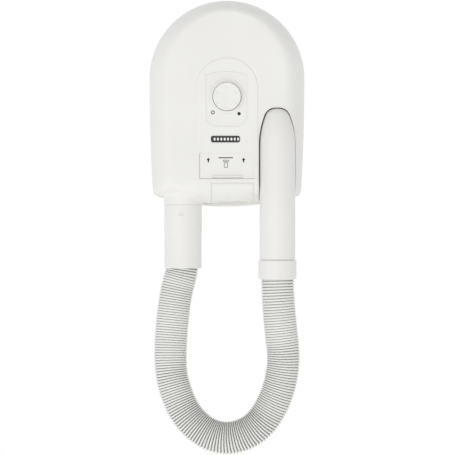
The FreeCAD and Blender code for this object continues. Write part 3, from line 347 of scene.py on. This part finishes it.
def hose_rings(route):
    """(distance, radius, web) for every ring of the ribbed surface.

    The third value is true where the surface from this ring to the next one lies in a groove's strip of
    painted shade, a darker grey that stands in for the groove's shadow. The ribs stand apart with deeper,
    wider grooves where the hose bends, and under the handle's cuff, where the handle's weight pulls on
    them.
    """
    outside = HOSE_DIAMETER / 2
    groove_shade_rings = (0, RINGS_PER_RIB - 1)
    rings = []
    start = 0.0
    while start < route.length - RIB_PITCH_PULLED:
        bent = min(1.0, route.bend(start) / FULL_BEND)
        pulled = max(0.0, 1 - (route.length - start) / PULLED_LENGTH)
        opened = max(bent, PULLED_OPENING * pulled)
        pitch = mix(RIB_PITCH, RIB_PITCH_PULLED, pulled)
        depth = mix(RIB_DEPTH, RIB_DEPTH_BENT, opened)
        sharpness = mix(RIDGE_SHARPNESS, RIDGE_SHARPNESS_BENT, opened)
        groove_shade = mix(GROOVE_SHADE_SHARE, GROOVE_SHADE_SHARE_BENT, opened)
        for i, phase in enumerate(ring_phases(groove_shade)):
            height = math.sin(math.pi * phase) ** sharpness
            rings.append((start + phase * pitch, outside - depth * (1 - height), i in groove_shade_rings))
        start += pitch
    return rings


def sweep(name, route, rings):
    """A closed tube with the rings' radii outside, a plain bore, and the second material, a darker grey of
    painted shade, on the grooves' strips.
    """
    made = bmesh.new()
    wall_normal = Vector((0, 1, 0))
    loops = []
    for distance, radius, _ in rings:
        along = route.direction(distance)
        side = along.cross(wall_normal).normalized()
        up = side.cross(along).normalized()
        loops.append((route.at(distance), side, up, radius))
    bore = HOSE_DIAMETER / 2 - RIB_DEPTH_BENT - HOSE_WALL
    inside = [(place, side, up, bore) for place, side, up, _ in loops[:: RINGS_PER_RIB // 2]]
    rows = []
    for place, side, up, radius in loops + inside[::-1]:
        row = []
        for i in range(HOSE_SIDES):
            turn = 2 * math.pi * i / HOSE_SIDES
            row.append(made.verts.new(place + (side * math.cos(turn) + up * math.sin(turn)) * radius))
        rows.append(row)
    groove_shades = [groove_shade for _, _, groove_shade in rings] + [False] * len(inside)
    for row, after, groove_shade in zip(rows, rows[1:] + rows[:1], groove_shades):
        for i in range(HOSE_SIDES):
            j = (i + 1) % HOSE_SIDES
            made.faces.new((row[i], row[j], after[j], after[i])).material_index = int(groove_shade)
    bmesh.ops.recalc_face_normals(made, faces=made.faces)
    mesh = bpy.data.meshes.new(name)
    made.to_mesh(mesh)
    made.free()
    thing = bpy.data.objects.new(name, mesh)
    bpy.context.scene.collection.objects.link(thing)
    return thing


def make_hose():
    read = smooth_route([Vector(p) for p in HOSE_ROUTE])
    route = Route(read)
    hose = sweep("ribbed_hose", route, hose_rings(route))
    hose.data.materials.append(LOOKS["hose_grey"])
    # The second material is the darker grey on the grooves' strips: painted shade.
    hose.data.materials.append(
        plastic("hose painted groove shade", HOSE_GROOVE_SHADE, roughness=0.6, grain=0.06, variation=0.03)
    )
    smooth(hose, degrees=80)
    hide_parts("hose")
    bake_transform(hose)


make_hose()

# ---------------------------------------------------------------------------------------- light and camera

VIEW_CENTRE = Vector((0.0007, -0.05, -0.1673))
VIEW_WIDTH = 0.6006
CAMERA_DISTANCE = 4.5
SENSOR_WIDTH_MM = 36

FLOOR_HEIGHT = -4.0
FLOOR_REACH = 50.0
FLOOR_GLOW = 0.2

# The light tent's cloth is bright towards this side and dim away from it. It changes over the fade,
# which is in cosines of the angle to that side.
TENT_BRIGHT_SIDE = Vector((-0.1, 0.95, -0.28)).normalized()
TENT_DIM = 0.66
TENT_BRIGHT = 1.0
TENT_FADE_START = -0.1
TENT_FADE_END = 0.4

KEY_PLACE = Vector((-1.6, -5.2, -0.4))
KEY_TARGET = Vector((0, 0, -0.15))
KEY_SIZE = 5.0
KEY_POWER = 80


def make_camera():
    """A camera straight in front of the object, far enough away for mild perspective."""
    camera = bpy.data.cameras.new("camera")
    camera.sensor_width = SENSOR_WIDTH_MM
    camera.lens = camera.sensor_width * CAMERA_DISTANCE / VIEW_WIDTH
    holder = bpy.data.objects.new("camera", camera)
    holder.location = VIEW_CENTRE - Vector((0, CAMERA_DISTANCE, 0))
    holder.rotation_euler = (math.radians(90), 0, 0)
    bpy.context.scene.collection.objects.link(holder)
    bpy.context.scene.camera = holder


def studio_floor():
    """A wide plain pale floor far below the object, which hangs on its wall."""
    signs = ((-1, -1), (1, -1), (1, 1), (-1, 1))
    corners = [(x * FLOOR_REACH, y * FLOOR_REACH, FLOOR_HEIGHT) for x, y in signs]
    mesh = bpy.data.meshes.new("studio_floor")
    mesh.from_pydata(corners, [], [(0, 1, 2, 3)])
    floor = bpy.data.objects.new("studio_floor", mesh)
    bpy.context.scene.collection.objects.link(floor)
    nodes = Nodes("studio floor")
    clouds = nodes.noise(scale=0.5)
    base = nodes.ramp(clouds, (0.3, (0.90, 0.90, 0.895)), (0.7, (0.93, 0.93, 0.925)))
    looks = nodes.finish(
        Base_Color=base,
        Roughness=0.9,
        Specular_IOR_Level=0.1,
        Emission_Color=(1, 1, 1, 1),
        Emission_Strength=FLOOR_GLOW,
    )
    floor.data.materials.append(looks)


def light_tent():
    """Soft light from white cloth all round, brighter behind the object, below it and on its left."""
    world = bpy.data.worlds.new("light_tent")
    world.use_nodes = True
    tree = world.node_tree
    facing = tree.nodes.new("ShaderNodeVectorMath")
    facing.operation = "DOT_PRODUCT"
    facing.inputs[1].default_value = TENT_BRIGHT_SIDE
    tree.links.new(tree.nodes.new("ShaderNodeTexCoord").outputs["Generated"], facing.inputs[0])
    cloth = tree.nodes.new("ShaderNodeMapRange")
    cloth.inputs["From Min"].default_value = TENT_FADE_START
    cloth.inputs["From Max"].default_value = TENT_FADE_END
    cloth.inputs["To Min"].default_value = TENT_DIM
    cloth.inputs["To Max"].default_value = TENT_BRIGHT
    tree.links.new(facing.outputs["Value"], cloth.inputs["Value"])
    background = tree.nodes["Background"]
    background.inputs["Color"].default_value = (1, 1, 1, 1)
    tree.links.new(cloth.outputs["Result"], background.inputs["Strength"])
    bpy.context.scene.world = world


def key_light():
    """A large square of soft light in front of the object, which the camera doesn't see."""
    lamp = bpy.data.lights.new("key", "AREA")
    lamp.size = KEY_SIZE
    lamp.energy = KEY_POWER
    holder = bpy.data.objects.new("key", lamp)
    holder.location = KEY_PLACE
    holder.rotation_euler = (KEY_TARGET - KEY_PLACE).to_track_quat("-Z", "Y").to_euler()
    holder.visible_camera = False
    bpy.context.scene.collection.objects.link(holder)


make_camera()
studio_floor()
light_tent()
key_light()
bpy.context.scene.view_settings.view_transform = "Standard"
